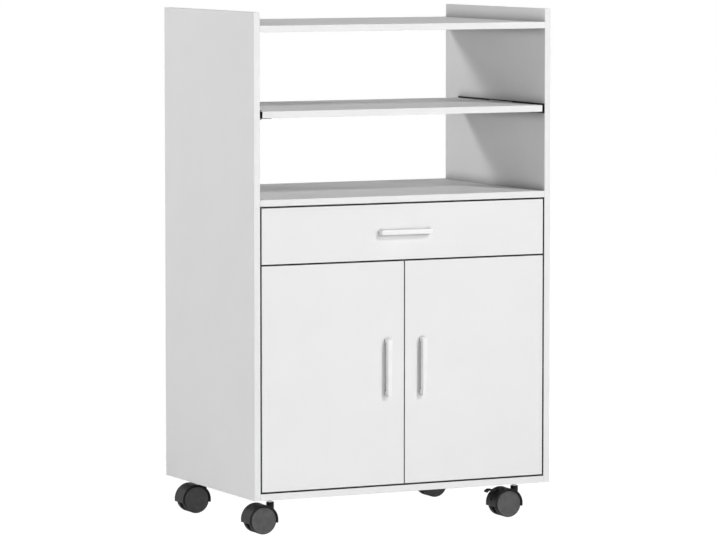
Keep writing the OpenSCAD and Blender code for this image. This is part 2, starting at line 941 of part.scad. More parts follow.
// Curved pedal outside the hood on a narrow plate that turns on the lever's pin
module brake_lever() {
  pedal_w = 12;
  pedal_t = 2.4;
  pedal_arc = [for (a = [40:13.75:150]) [-31.5, 17.5] + 9 * [cos(a), sin(a)]];
  at_axle() along_axle() difference() {
    union() {
      translate([0, 0, -lever_t / 2]) linear_extrude(lever_t) {
        translate(lever_pin) circle(r = lever_eye);
        strip([lever_pin, [-18, 17.2], [-25.2, 22.8]], pedal_t + 1);
      }
      translate([0, 0, -pedal_w / 2]) linear_extrude(pedal_w)
        strip(pedal_arc, pedal_t);
    }
    translate([lever_pin[0], lever_pin[1], -web])
      cylinder(h = 2 * web, r = lever_pin_r + fit);
  }
}

side_panel(-1);  // side_panel_left
side_panel(1);  // side_panel_right
top_board();
cabinet_top_board();
divider_rail();
bottom_board();
back_panel();
cam_locks();
cam_bolts();
dowels();
sliding_shelf();
shelf_channel(-1);  // shelf_channel_left
shelf_channel(1);  // shelf_channel_right
shelf_runner(-1);  // shelf_runner_left
shelf_runner(1);  // shelf_runner_right
shelf_ball_cages();
shelf_screws();
panel_screws();
drawer_front();
drawer_side(-1);  // drawer_side_left
drawer_side(1);  // drawer_side_right
drawer_back();
drawer_bottom();
drawer_handle();
drawer_channel(-1);  // drawer_channel_left
drawer_channel(1);  // drawer_channel_right
drawer_runner(-1);  // drawer_runner_left
drawer_runner(1);  // drawer_runner_right
drawer_ball_cages();
drawer_fasteners();
door(-1);  // door_left
door(1);  // door_right
door_handle(-1);  // door_handle_left
door_handle(1);  // door_handle_right
door_screws(-1);  // door_screws_left
door_screws(1);  // door_screws_right
hinge_cups(-1);  // hinge_cups_left
hinge_cups(1);  // hinge_cups_right
hinge_arms();
hinge_plates();
caster_plates();
caster_screws();
color("#2b2b2b") place_caster(-1, -1) caster_hood(false);  // caster_hood_front_left
color("#2b2b2b") place_caster(1, -1) caster_hood(true);  // caster_hood_front_right
color("#2b2b2b") place_caster(-1, 1) caster_hood(false);  // caster_hood_rear_left
color("#2b2b2b") place_caster(1, 1) caster_hood(true);  // caster_hood_rear_right
color("silver") place_caster(-1, -1) caster_axle(false);  // caster_axle_front_left
color("silver") place_caster(1, -1) caster_axle(true);  // caster_axle_front_right
color("silver") place_caster(-1, 1) caster_axle(false);  // caster_axle_rear_left
color("silver") place_caster(1, 1) caster_axle(true);  // caster_axle_rear_right
color("#4a4a4a") place_caster(-1, -1) caster_wheel(0);  // wheel_front_left_a
color("#4a4a4a") place_caster(-1, -1) caster_wheel(1);  // wheel_front_left_b
color("#4a4a4a") place_caster(1, -1) caster_wheel(0);  // wheel_front_right_a
color("#4a4a4a") place_caster(1, -1) caster_wheel(1);  // wheel_front_right_b
color("#4a4a4a") place_caster(-1, 1) caster_wheel(0);  // wheel_rear_left_a
color("#4a4a4a") place_caster(-1, 1) caster_wheel(1);  // wheel_rear_left_b
color("#4a4a4a") place_caster(1, 1) caster_wheel(0);  // wheel_rear_right_a
color("#4a4a4a") place_caster(1, 1) caster_wheel(1);  // wheel_rear_right_b
color("#2b2b2b") place_caster(1, -1) brake_lever();  // brake_lever_front
color("#2b2b2b") place_caster(1, 1) brake_lever();  // brake_lever_rear
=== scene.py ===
"""Looks of a white microwave cart: melamine boards, painted bar handles, ball slides, twin-wheel casters.

Everything is in metres, in the frame of the construction model: X to the right, Y to the back, Z up.
Lengths in the sections on handles, casters and heads are in millimetres, angles in degrees.
"""
import json
import math

import bpy
import numpy as np
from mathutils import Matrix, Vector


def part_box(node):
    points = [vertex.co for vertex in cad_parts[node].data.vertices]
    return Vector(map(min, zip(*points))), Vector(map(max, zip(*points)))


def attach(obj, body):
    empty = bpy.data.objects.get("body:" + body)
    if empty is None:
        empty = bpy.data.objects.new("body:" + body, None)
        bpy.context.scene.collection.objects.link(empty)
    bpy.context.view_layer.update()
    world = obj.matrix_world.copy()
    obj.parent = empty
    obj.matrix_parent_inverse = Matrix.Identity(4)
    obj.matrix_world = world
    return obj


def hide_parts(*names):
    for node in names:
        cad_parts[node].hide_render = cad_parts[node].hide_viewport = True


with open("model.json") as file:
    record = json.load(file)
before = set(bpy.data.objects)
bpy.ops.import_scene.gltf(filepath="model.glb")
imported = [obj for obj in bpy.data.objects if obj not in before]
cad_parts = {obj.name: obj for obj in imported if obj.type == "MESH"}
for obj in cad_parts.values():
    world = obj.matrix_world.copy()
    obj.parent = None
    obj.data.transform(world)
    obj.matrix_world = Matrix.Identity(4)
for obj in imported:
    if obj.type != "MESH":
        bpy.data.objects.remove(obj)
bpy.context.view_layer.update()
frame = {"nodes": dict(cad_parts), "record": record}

MM = 0.001
NODES = frame["nodes"]
CORNERS = ("front_left", "front_right", "rear_left", "rear_right")


# ---------------------------------------------------------------- shader helpers

TINT_FROM, TINT_TO = 0.3, 0.7
# Painted shade in the board colour: the colour in an inside corner, and the openness at a slit, a corner
# and an open face.
CORNER_SHADE = 0.55
SLIT_OPENNESS = 0.27
CORNER_OPENNESS = 0.5
FACE_OPENNESS = 0.92


def linear(hex_code):
    """Linear RGBA of an sRGB hex colour such as "#ececec"."""
    srgb = np.array([int(hex_code[i:i + 2], 16) for i in (1, 3, 5)]) / 255
    rgb = np.where(srgb <= 0.04045, srgb / 12.92, ((srgb + 0.055) / 1.055) ** 2.4)
    return (*rgb.tolist(), 1.0)


def add(tree, kind, settings=None, links=None):
    """Adds a node: settings are its properties or input values, links are inputs fed by sockets."""
    node = tree.nodes.new(kind)
    for key, value in (settings or {}).items():
        if key in node.inputs:
            node.inputs[key].default_value = value
        else:
            setattr(node, key, value)
    for key, socket in (links or {}).items():
        tree.links.new(socket, node.inputs[key])
    return node


def surface(name, **settings):
    """New material with a Principled shader; returns the material, its tree and the shader."""
    material = bpy.data.materials.new(name)
    material.use_nodes = True
    tree = material.node_tree
    tree.nodes.clear()
    shader = add(tree, "ShaderNodeBsdfPrincipled", settings)
    add(tree, "ShaderNodeOutputMaterial", links={"Surface": shader.outputs["BSDF"]})
    return material, tree, shader


def grain(tree, size_mm, detail=2.0, stretch=(1, 1, 1)):
    """Noise in object coordinates whose blobs are about size_mm across; stretch lengthens them."""
    place = add(tree, "ShaderNodeTexCoord")
    mapping = add(tree, "ShaderNodeMapping", {"Scale": [1 / s for s in stretch]},
                  {"Vector": place.outputs["Object"]})
    return add(tree, "ShaderNodeTexNoise", {"Scale": 1 / (size_mm * MM), "Detail": detail},
               {"Vector": mapping.outputs["Vector"]})


def tinted(tree, shader, noise, dark, light):
    """Base colour between two hex colours, following the noise; returns the ramp."""
    ramp = add(tree, "ShaderNodeValToRGB", links={"Fac": noise.outputs["Fac"]})
    first, last = ramp.color_ramp.elements
    first.position, first.color = TINT_FROM, linear(dark)
    last.position, last.color = TINT_TO, linear(light)
    tree.links.new(ramp.outputs["Color"], shader.inputs["Base Color"])
    return ramp


def rough_between(tree, shader, noise, low, high):
    """Roughness that wanders between two values with the noise."""
    spread = add(tree, "ShaderNodeMapRange", {"To Min": low, "To Max": high},
                 {"Value": noise.outputs["Fac"]})
    tree.links.new(spread.outputs["Result"], shader.inputs["Roughness"])


def painted_shade_in_corners(tree, shader, ramp, reach_mm):
    """Paints shade into the colour: multiplies it by how open the place is to its surroundings within
    reach_mm, black in a slit, darker in an inside corner, unchanged on an open face."""
    near = add(tree, "ShaderNodeAmbientOcclusion", {"samples": 8, "Distance": reach_mm * MM})
    share = add(tree, "ShaderNodeValToRGB", links={"Fac": near.outputs["AO"]})
    slit, face = share.color_ramp.elements
    slit.position, slit.color = SLIT_OPENNESS, (0, 0, 0, 1)
    face.position, face.color = FACE_OPENNESS, (1, 1, 1, 1)
    corner = share.color_ramp.elements.new(CORNER_OPENNESS)
    corner.color = (CORNER_SHADE, CORNER_SHADE, CORNER_SHADE, 1)
    shade = add(tree, "ShaderNodeVectorMath", {"operation": "MULTIPLY"})
    tree.links.new(ramp.outputs["Color"], shade.inputs[0])
    tree.links.new(share.outputs["Color"], shade.inputs[1])
    tree.links.new(shade.outputs["Vector"], shader.inputs["Base Color"])


def embossed(tree, shader, noise, height_mm):
    """Bump of height_mm from the noise."""
    bump = add(tree, "ShaderNodeBump", {"Strength": 1.0, "Distance": height_mm * MM},
               {"Height": noise.outputs["Fac"]})
    tree.links.new(bump.outputs["Normal"], shader.inputs["Normal"])


# ---------------------------------------------------------------- materials

def melamine_board(name, reach_mm):
    """Melamine-faced chipboard, pressed against a pearl-textured plate: satin white, faint orange
    peel a millimetre wide, almost no colour change. Painted shade darkens its colour in corners and slits
    within reach_mm."""
    material, tree, shader = surface(name, **{"Specular IOR Level": 0.36})
    ramp = tinted(tree, shader, grain(tree, 90, 3), "#eaeaea", "#ececec")
    painted_shade_in_corners(tree, shader, ramp, reach_mm)
    rough_between(tree, shader, grain(tree, 14, 4), 0.54, 0.62)
    embossed(tree, shader, grain(tree, 1.1, 2), 0.012)
    return material


def lacquered_hardboard():
    """Wet-pressed hardboard with a white lacquer: flatter than melamine, fine fibre marks."""
    material, tree, shader = surface("hardboard_white_lacquer")
    tinted(tree, shader, grain(tree, 25, 5), "#e4e4e2", "#e7e7e5")
    rough_between(tree, shader, grain(tree, 6, 4), 0.6, 0.66)
    embossed(tree, shader, grain(tree, 1.6, 4, stretch=(3, 1, 1)), 0.03)
    return material


def handle_paint():
    """Zinc alloy handle, powder coated white: brighter than the board, soft gloss, tiny dimples."""
    material, tree, shader = surface("zinc_alloy_white_powder_coat", **{"Coat Weight": 0.5})
    tinted(tree, shader, grain(tree, 30), "#efefef", "#f4f4f4")
    rough_between(tree, shader, grain(tree, 4, 3), 0.26, 0.34)
    embossed(tree, shader, grain(tree, 0.6, 2), 0.01)
    return material


def black_coated_steel():
    """Rolled steel slide with a black dip coating: dark, satin, slightly uneven gloss."""
    material, tree, shader = surface("rolled_steel_black_dip_coat", **{"Specular IOR Level": 0.2})
    tinted(tree, shader, grain(tree, 12, 3), "#0a0a0b", "#111112")
    rough_between(tree, shader, grain(tree, 5, 3), 0.46, 0.6)
    embossed(tree, shader, grain(tree, 0.7, 2, stretch=(1, 12, 1)), 0.01)
    return material


def zinc_plated_steel():
    """Rolled steel with bright zinc: cool grey metal, drawn along the slide, cloudy roughness."""
    material, tree, shader = surface("rolled_steel_bright_zinc", Metallic=1.0)
    tinted(tree, shader, grain(tree, 18, 4), "#b9bcc0", "#d2d4d7")
    rough_between(tree, shader, grain(tree, 7, 5, stretch=(1, 6, 1)), 0.28, 0.42)
    embossed(tree, shader, grain(tree, 0.5, 2, stretch=(1, 20, 1)), 0.006)
    return material


def turned_steel():
    """Zinc-plated screws, pins and balls: small bright metal with fine marks."""
    material, tree, shader = surface("turned_steel_zinc_plated", Metallic=1.0)
    tinted(tree, shader, grain(tree, 3, 3), "#c2c3c5", "#dadbdc")
    rough_between(tree, shader, grain(tree, 1.2, 3), 0.22, 0.36)
    return material


def die_cast_zinc():
    """Die-cast cam: duller grey than the screws, slightly pitted."""
    material, tree, shader = surface("cam_die_cast_zinc", Metallic=1.0)
    tinted(tree, shader, grain(tree, 4, 4), "#8f9194", "#a9abad")
    rough_between(tree, shader, grain(tree, 2, 4), 0.42, 0.58)
    embossed(tree, shader, grain(tree, 0.8, 3), 0.03)
    return material


def beech():
    """Beech dowel: warm pale brown with short flecks along it."""
    material, tree, shader = surface("dowel_fluted_beech", Roughness=0.6)
    tinted(tree, shader, grain(tree, 1.5, 4, stretch=(8, 1, 1)), "#c79a68", "#ddb98a")
    return material


def hood_nylon():
    """Black nylon hood from an eroded mould: near black, satin, very fine spark texture."""
    material, tree, shader = surface("nylon_black_spark_textured", **{"Specular IOR Level": 0.25})
    tinted(tree, shader, grain(tree, 9, 3), "#0b0b0c", "#131314")
    rough_between(tree, shader, grain(tree, 3, 4), 0.42, 0.54)
    embossed(tree, shader, grain(tree, 0.45, 2), 0.02)
    return material


def wheel_nylon():
    """Nylon wheel in two shots: dull black tread, and a glossier dark grey disc where the piece's disc
    attribute is 1, moulded smooth and a little scuffed."""
    material, tree, shader = surface("nylon_two_shot_moulded")
    disc = tinted(tree, shader, grain(tree, 11, 4), "#474748", "#535354")
    outer = add(tree, "ShaderNodeAttribute", {"attribute_name": "disc"})
    both = add(tree, "ShaderNodeMix", {"data_type": "RGBA"})
    both.inputs["A"].default_value = linear("#070708")
    tree.links.new(outer.outputs["Fac"], both.inputs["Factor"])
    tree.links.new(disc.outputs["Color"], both.inputs["B"])
    tree.links.new(both.outputs["Result"], shader.inputs["Base Color"])
    shine = add(tree, "ShaderNodeMapRange", {"To Min": 0.1, "To Max": 0.35},
                {"Value": outer.outputs["Fac"]})
    tree.links.new(shine.outputs["Result"], shader.inputs["Specular IOR Level"])
    rough_between(tree, shader, grain(tree, 4, 4), 0.46, 0.6)
    embossed(tree, shader, grain(tree, 0.7, 3), 0.012)
    return material


FINISHES = {
    "white_board": melamine_board("melamine_pearl_white", 24),
    "white_hardboard": lacquered_hardboard(),
    "handle_paint": handle_paint(),
    "black_slide": black_coated_steel(),
    "zinc_slide": zinc_plated_steel(),
    "steel": turned_steel(),
    "cam_zinc": die_cast_zinc(),
    "dowel_wood": beech(),
    "hood_nylon": hood_nylon(),
    "wheel_nylon": wheel_nylon(),
}

# The same board for the fronts. Its reach of painted shade is shorter, so the gaps round them are
# # painted black and the handles leave no painted dark rim on them.
FRONT_BOARD = melamine_board("melamine_pearl_white_front", 5.5)
FRONTS = ("drawer_front", "door_left", "door_right")


def finish_nodes():
    """Gives each node of the frame the finish of its material slot in the record."""
    for part in frame["record"]["subparts"]:
        mesh = NODES[part["node"]].data
        mesh.materials.clear()
        front = part["node"] in FRONTS
        mesh.materials.append(FRONT_BOARD if front else FINISHES[part["material_slot"]])


# ---------------------------------------------------------------- surfaces from numpy

# Faces that meet at more degrees than this keep a sharp edge.
SHARP_FROM = 32


def arc(centre, radius, start, end, count):
    """Points of a circular arc, angles in degrees."""
    a = np.radians(np.linspace(start, end, count))
    return np.stack([centre[0] + radius * np.cos(a), centre[1] + radius * np.sin(a)], 1)


def full_turn(count):
    """Angles of a full circle in equal steps, the last one short of the first."""
    return np.linspace(0, 2 * math.pi, count + 1)[:-1]


def rounded_rectangle(width, height, radius, steps=5):
    """Outline of a rectangle with round corners, anticlockwise."""
    x, y = width / 2 - radius, height / 2 - radius
    corners = ((x, y, 0), (-x, y, 90), (-x, -y, 180), (x, -y, 270))
    return np.concatenate([arc((cx, cy), radius, a, a + 90, steps) for cx, cy, a in corners])


def grid_faces(rows, cols):
    """Quads between neighbouring rows of points; each row is a closed loop."""
    r, c = np.meshgrid(np.arange(rows - 1), np.arange(cols), indexing="ij")
    after = (c + 1) % cols
    quads = np.stack([r * cols + c, r * cols + after, (r + 1) * cols + after, (r + 1) * cols + c], -1)
    return quads.reshape(-1, 4)


def enclosed(points, faces):
    """Six times the signed volume inside a closed surface: the sum over triangles of a . (b x c)."""
    total = 0.0
    for corners in {len(f) for f in faces}:
        ring = points[np.array([f for f in faces if len(f) == corners])]
        for i in range(1, corners - 1):
            total += np.einsum("ij,ij->", ring[:, 0], np.cross(ring[:, i], ring[:, i + 1]))
    return total


def make_piece(name, loops, finish, body, stands_for=()):
    """Closed surface through rows of looped points, in mm of the row frame. loops is one array, or
    several for separate shells, of shape rows x points x 3; the end loops are closed with a face.
    The faces are turned outwards by the sign of the enclosed volume."""
    shells = loops if isinstance(loops, list) else [loops]
    points, faces, offset = [], [], 0
    for shell in shells:
        rows, cols = shell.shape[:2]
        flat = shell.reshape(-1, 3) * MM
        own = grid_faces(rows, cols).tolist()
        own += [list(range(cols))[::-1], list(range((rows - 1) * cols, rows * cols))]
        if enclosed(flat - flat.mean(0), own) < 0:
            own = [face[::-1] for face in own]
        points.append(flat)
        faces += [[i + offset for i in face] for face in own]
        offset += len(flat)
    mesh = bpy.data.meshes.new(name)
    mesh.from_pydata(np.concatenate(points).tolist(), [], faces)
    mesh.polygons.foreach_set("use_smooth", np.ones(len(faces), dtype=bool))
    mesh.set_sharp_from_angle(angle=math.radians(SHARP_FROM))
    mesh.materials.append(FINISHES[finish])
    piece = bpy.data.objects.new(name, mesh)
    bpy.context.scene.collection.objects.link(piece)
    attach(piece, body)
    if stands_for:
        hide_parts(*stands_for)
    return piece


def box_mm(node):
    """Lowest and highest corner of a node, in mm."""
    return [np.array(corner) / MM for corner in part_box(node)]


# ---------------------------------------------------------------- handles

HANDLES = (
    ("drawer_handle", "drawer", True),
    ("door_handle_left", "left_door", False),
    ("door_handle_right", "right_door", False),
)
HANDLE_EDGE = 0.9
HANDLE_CORNER = 1.6
HANDLE_FILLET = 1.2
HANDLE_LEG = 8.0
# Deeper than the bar of the solid, on its hidden side, as the photograph shows the bar.
HANDLE_BAR = 10.5


def handle_outline(length, reach):
    """Side view of the bow handle: along the bar and away from the front that it stands on."""
    end, foot = length / 2, length / 2 - HANDLE_LEG
    under = reach - HANDLE_BAR
    right = np.concatenate([
        arc((end - HANDLE_CORNER, reach - HANDLE_CORNER), HANDLE_CORNER, 90, 0, 7),
        np.linspace([end, reach - HANDLE_CORNER - 1], [end, 0], 4),
        np.linspace([foot, 0], [foot, under - HANDLE_FILLET - 0.5], 4),
        arc((foot - HANDLE_FILLET, under - HANDLE_FILLET), HANDLE_FILLET, 0, 90, 6),
    ])
    return np.concatenate([right, (right * [-1, 1])[::-1]])


def turn_of(outline):
    """1 where the outline runs so that its right-hand side is outside, else -1."""
    after = np.roll(outline, -1, 0)
    area = (outline[:, 0] * after[:, 1] - after[:, 0] * outline[:, 1]).sum()
    return 1.0 if area > 0 else -1.0


def inset(outline, depths):
    """The outline moved inwards along its mitred normals, once for each depth."""
    ahead = np.roll(outline, -1, 0) - outline
    ahead /= np.linalg.norm(ahead, axis=1, keepdims=True)
    side = np.stack([ahead[:, 1], -ahead[:, 0]], 1)
    before = np.roll(side, 1, 0)
    mitre = (side + before) / (1 + (side * before).sum(1, keepdims=True))
    return outline[None] - np.asarray(depths)[:, None, None] * mitre[None] * turn_of(outline)


def rounded_slab(outline, half, radius, steps=5):
    """An outline given thickness, its edges rounded: across the thickness t the outline moves in by
    radius - sqrt(radius^2 - (|t| - half + radius)^2) near both faces."""
    a = np.radians(np.linspace(0, 90, steps))
    rise = half - radius + radius * np.sin(a)
    sink = radius * (1 - np.cos(a))
    t = np.concatenate([-rise[::-1], rise])
    flat = inset(outline, np.concatenate([sink[::-1], sink]))
    return np.concatenate([flat, np.broadcast_to(t[:, None, None], flat.shape[:2] + (1,))], 2)


def make_handles():
    """Bow handles: the rounded outline stands away from the front, the bar is level or upright."""
    for node, body, level in HANDLES:
        low, high = box_mm(node)
        size, middle = high - low, (low + high) / 2
        length, width = (size[0], size[2]) if level else (size[2], size[0])
        slab = rounded_slab(handle_outline(length, size[1]), width / 2, HANDLE_EDGE)
        along, away, across = slab[..., 0], slab[..., 1], slab[..., 2]
        back = high[1] - away
        points = ([middle[0] + along, back, middle[2] + across] if level
                  else [middle[0] + across, back, middle[2] + along])
        make_piece(f"{node}_bow", np.stack(points, -1), "handle_paint", body, [node])


# ---------------------------------------------------------------- casters

WHEEL_STEPS = 96
RIBS = 6
# A rib rises where cos(6 angle) passes RIB_FROM, is whole RIB_SLOPE further on, and fills RIB_RISE
# of the depth.
RIB_FROM, RIB_SLOPE, RIB_RISE = 0.86, 0.08, 0.9
DISC_EDGE, DISC_WIDTH, DISC_CROWN = 20.4, 13.5, 0.4

WEB_HALF = 4.4
HOOD_HALF = 19.0
HOOD_RADIUS = 28.2
HOOD_SKIRT = 5.0
LIP_RADIUS = 1.0
LIP_PROUD = 0.5

PEDAL_CENTRE = (-31.5, 17.5)
PEDAL_RADIUS = 9.0
PEDAL_SPAN = (38, 152)
PEDAL_WIDTH, PEDAL_THICKNESS, PEDAL_EDGE = 12.4, 2.7, 1.2
# Share of the arc that narrows at each tip, and the least size there, squared.
PEDAL_TIP, PEDAL_TIP_SQUARED = 0.03, 0.04
RIDGES = 9
RIDGE_HEIGHT = 0.25
RIDGED_FROM = 0.95


def axle_of(node):
    """Centre of a wheel's box along X and Z, in mm."""
    low, high = box_mm(node)
    return (low[0] + high[0]) / 2, (low[2] + high[2]) / 2


def caster_middle(corner):
    """Middle of a caster, on its axle and halfway between its two wheels, in mm."""
    x, z = axle_of(f"wheel_{corner}_a")
    return x, box_mm(f"wheel_{corner}_a")[1][1] + WEB_HALF, z


def wheel_section():
    """Half section of a wheel, from the axle's end round the tread to the middle of the disc: radius,
    distance from its inner face, 1 where ribs stand, and 1 on the grey disc. The disc is crowned:
    its height over the radius r falls as 1 - (r / DISC_EDGE)^2."""
    bore = [(0.4, 11.4), (2.9, 11.4), (3.05, 11.2), (3.05, 0.3), (3.4, 0), (6.2, 0), (6.6, 0.4)]
    well = [(7.2, 4.6), (10, 4.8), (13, 4.8), (17, 4.8), (20.2, 4.6)]
    tread = [(20.7, 0.4), (21.1, 0), *arc((22.9, 2.1), 2.1, -90, 0, 8), (25, 5), (25, 10),
             *arc((24.0, 12.6), 1.0, 0, 70, 5), (24.2, 13.3)]
    disc = [(24.15, 13.3), (24.0, 13.75), (23.6, 14), (21.6, 14), (21.2, 13.9), (20.8, 13.55)]
    disc += [(r, DISC_WIDTH + DISC_CROWN * (1 - (r / DISC_EDGE) ** 2))
             for r in (DISC_EDGE, 18, 15, 12, 9, 6, 3, 0.4)]
    stretches = ((bore, 0, 0), (well, 1, 0), (tread, 0, 0), (disc, 0, 1))
    return np.array([(*point, rib, grey) for points, rib, grey in stretches for point in points])


def make_wheel(corner, half):
    """Lathe-turned wheel: radius and depth follow the half section round the axle, and on the inner
    side the depth falls back to a tenth where cos(6 angle) is near 1, which leaves six ribs."""
    node = f"wheel_{corner}_{half}"
    low, high = box_mm(node)
    x, z = axle_of(node)
    angle = full_turn(WHEEL_STEPS)
    rib = np.clip((np.cos(RIBS * angle) - RIB_FROM) / RIB_SLOPE, 0, 1)
    radius, depth, ribbed, disc = wheel_section().T[:, :, None]
    depth = depth * (1 - RIB_RISE * ribbed * rib[None])
    inner, outward = (high[1], -1) if half == "a" else (low[1], 1)
    radius = np.broadcast_to(radius, depth.shape)
    points = np.stack([x + radius * np.cos(angle), inner + outward * depth,
                       z + radius * np.sin(angle)], -1)
    wheel = make_piece(f"{node}_turned", points, "wheel_nylon", node, [node])
    shade = wheel.data.attributes.new("disc", "FLOAT", "POINT")
    shade.data.foreach_set("value", np.broadcast_to(disc, depth.shape).ravel())


def make_hood_lips(corner):
    """Rounded lips along both edges of the hood: a small circle carried along the edge's arc, from
    one end of the skirt over the top to the other, and closed at both ends."""
    x, y, z = caster_middle(corner)
    drop = math.asin(HOOD_SKIRT / HOOD_RADIUS)
    along = np.linspace(-drop, math.pi + drop, 80)[:, None]
    round_lip = full_turn(16)[None]
    radius = HOOD_RADIUS - LIP_RADIUS + LIP_PROUD + LIP_RADIUS * np.cos(round_lip)
    across = HOOD_HALF - LIP_RADIUS + LIP_PROUD + LIP_RADIUS * np.sin(round_lip)
    shells = [np.stack([x + radius * np.cos(along), y + side * across + 0 * along,
                        z + radius * np.sin(along)], -1) for side in (-1, 1)]
    make_piece(f"hood_lips_{corner}", shells, "hood_nylon", f"caster_{corner}")


def make_pedal(end):
    """Pad of a brake pedal: a rounded section carried along the pedal's arc and drawn in at both tips
    as sqrt(1 - s^2), down to a fifth of its size. Its outer side rises in ridges across the foot's
    way, as the positive half of a sine with nine periods, where the section is nearly whole."""
    x, y, z = caster_middle(f"{end}_right")
    outline = rounded_rectangle(PEDAL_WIDTH, PEDAL_THICKNESS, PEDAL_EDGE)
    t = np.linspace(0, 1, 60)
    angle = np.radians(PEDAL_SPAN[0] + (PEDAL_SPAN[1] - PEDAL_SPAN[0]) * t)[:, None]
    into_tip = ((np.abs(t - 0.5) - 0.5 + PEDAL_TIP) / PEDAL_TIP).clip(0, 1)
    tip = np.sqrt(np.clip(1 - into_tip ** 2, PEDAL_TIP_SQUARED, 1))[:, None]
    wave = np.clip(np.sin(t * 2 * math.pi * RIDGES), 0, 1)[:, None]
    ridge = RIDGE_HEIGHT * wave * (tip > RIDGED_FROM)
    across, up = outline[None, :, 0] * tip, outline[None, :, 1] * tip
    radius = PEDAL_RADIUS + up + ridge * (up > 0)
    points = np.stack([x + PEDAL_CENTRE[0] + radius * np.cos(angle), y + across + 0 * angle,
                       z + PEDAL_CENTRE[1] + radius * np.sin(angle)], -1)
    make_piece(f"brake_pedal_{end}", points, "hood_nylon", f"brake_{end}")


# ---------------------------------------------------------------- screw and cam heads

# Radius and dome of a head, then half length, half width and depth of its cross recess.
SCREW_HEAD = (3.0, 0.5, 1.8, 0.42, 0.42)
CAM_FACE = (5.9, 0.1, 3.4, 0.9, 1.2)
HEADS = (
    ("shelf_screws", "z", "black_slide", "shelf", SCREW_HEAD),
    ("caster_screws", "z", "steel", "cabinet", SCREW_HEAD),
    ("cam_locks", "z", "cam_zinc", "cabinet", CAM_FACE),
    ("door_screws_left", "y", "steel", "left_door", SCREW_HEAD),
    ("door_screws_right", "y", "steel", "right_door", SCREW_HEAD),
)
# Where a head's rings lie, as shares of its radius. It stays HEAD_MARGIN inside the fastener's edge,
# rises HEAD_LIFT above its end face and reaches HEAD_ROOT below it.
HEAD_RINGS = (0.06, 0.2, 0.35, 0.5, 0.62, 0.75, 0.88, 1.0)
HEAD_MARGIN = 0.05
HEAD_LIFT = 0.12
HEAD_ROOT = 0.2
RECESS_SLOPE = 0.25


def loose_parts(node):
    """Points of each separate solid of a node, in mm: vertices in one place count as one, and the
    lowest label spreads along the edges until nothing changes."""
    mesh = NODES[node].data
    points = np.empty(len(mesh.vertices) * 3)
    mesh.vertices.foreach_get("co", points)
    points = points.reshape(-1, 3) / MM
    edges = np.empty(len(mesh.edges) * 2, dtype=int)
    mesh.edges.foreach_get("vertices", edges)
    same = np.unique(points.round(3), axis=0, return_inverse=True)[1].ravel()
    start, end = same[edges].reshape(-1, 2).T
    label = np.arange(same.max() + 1)
    while True:
        before = label.copy()
        low = np.minimum(label[start], label[end])
        np.minimum.at(label, start, low)
        np.minimum.at(label, end, low)
        label = label[label]
        if (label == before).all():
            return [points[label[same] == k] for k in np.unique(label)]


def head_end(points, up):
    """Where the head of a fastener lies: its centre on the end face with the most points, and 1 or -1
    for the way it faces along the axis up."""
    low, high = points.min(0), points.max(0)
    counts = [(np.abs(points[:, up] - face) < HEAD_MARGIN).sum() for face in (low[up], high[up])]
    sign = 1 if counts[1] > counts[0] else -1
    centre = (low + high) / 2
    centre[up] = high[up] if sign > 0 else low[up]
    return centre, sign


def head_loops(radius, dome, arm, width, depth):
    """Head seen from its axis: height dome * (1 - (r / radius)^2) at the distance r, less a cross of
    two bars, arm long and width wide, that is depth deep with sloping walls."""
    r = np.array(HEAD_RINGS)[:, None] * radius
    a = full_turn(32)[None]
    x, y = r * np.cos(a), r * np.sin(a)

    def bar(u, v):
        """1 inside a bar along u, falling to 0 over the slope of its walls."""
        inside = np.stack([(arm - np.abs(u)), (width - np.abs(v))]) / RECESS_SLOPE
        return np.clip(inside, 0, 1).prod(0)

    cross = np.maximum(bar(x, y), bar(y, x))
    height = dome * (1 - (r / radius) ** 2) + HEAD_LIFT - depth * cross
    height[-1] = 0.0
    top = np.stack([x, y, height], -1)
    under = np.stack([x[-1:], y[-1:], np.full_like(x[-1:], -HEAD_ROOT)], -1)
    return np.concatenate([top, under])


def make_heads():
    """A cross-recessed head on every fastener whose axis is the given one."""
    for node, axis, finish, body, shape in HEADS:
        up = "xyz".index(axis)
        first, second = (up + 1) % 3, (up + 2) % 3
        shells = []
        for points in loose_parts(node):
            centre, sign = head_end(points, up)
            radius = np.ptp(points, axis=0)[first] / 2
            scale = (radius - HEAD_MARGIN) / shape[0]
            local = head_loops(*(value * scale for value in shape))
            shell = np.empty_like(local)
            shell[..., first] = centre[first] + local[..., 0]
            shell[..., second] = centre[second] + local[..., 1]
            shell[..., up] = centre[up] + local[..., 2] * sign
            shells.append(shell)
        make_piece(f"{node}_heads", shells, finish, body)


# ---------------------------------------------------------------- studio

FLOOR_HALF = 60.0
SHADOW_SHARE = 0.10
LIT_FLOOR = 0.08
WORLD_BAND = 1.4
WORLD_FALL = 12.0

# Name, bearing from the cart and height in degrees, distance and side in metres, watts. Bearing 0 is
# in front of the cart and 90 to its right.
SOFTBOXES = (
    ("high_key", 22, 35, 8.0, 1.0, 222),
    ("low_key", 24, 18, 6.0, 0.4, 70),
    ("rear_left_softbox", -114, 21.4, 3.87, 0.5, 45),
    ("left_fill", -90, 4, 4.0, 1.5, 9),
    ("front_left_fill", -35, 4, 4.0, 1.5, 24),
    ("front_right_fill", 40, 4, 4.0, 1.5, 11),
    ("overhead_softbox", 0, 88, 3.0, 2.0, 5),
)
LIGHT_TARGET = (0.0, 0.0, 0.5)

FOCAL_PX = 4266.81
PHOTO_WIDTH = 716
SENSOR_WIDTH = 36.0
CAMERA_HEADING = 25.924
CAMERA_PITCH = 4.927
CAMERA_PLACE = (-3.4500, -7.0973, 1.1357)
CAMERA_SIGHT = 200


def either_ray(tree, seen, ray):
    """1 where seen is 1 or the ray is of the given kind."""
    either = add(tree, "ShaderNodeMath", {"operation": "MAXIMUM"})
    tree.links.new(seen, either.inputs[0])
    tree.links.new(ray, either.inputs[1])
    return either.outputs["Value"]


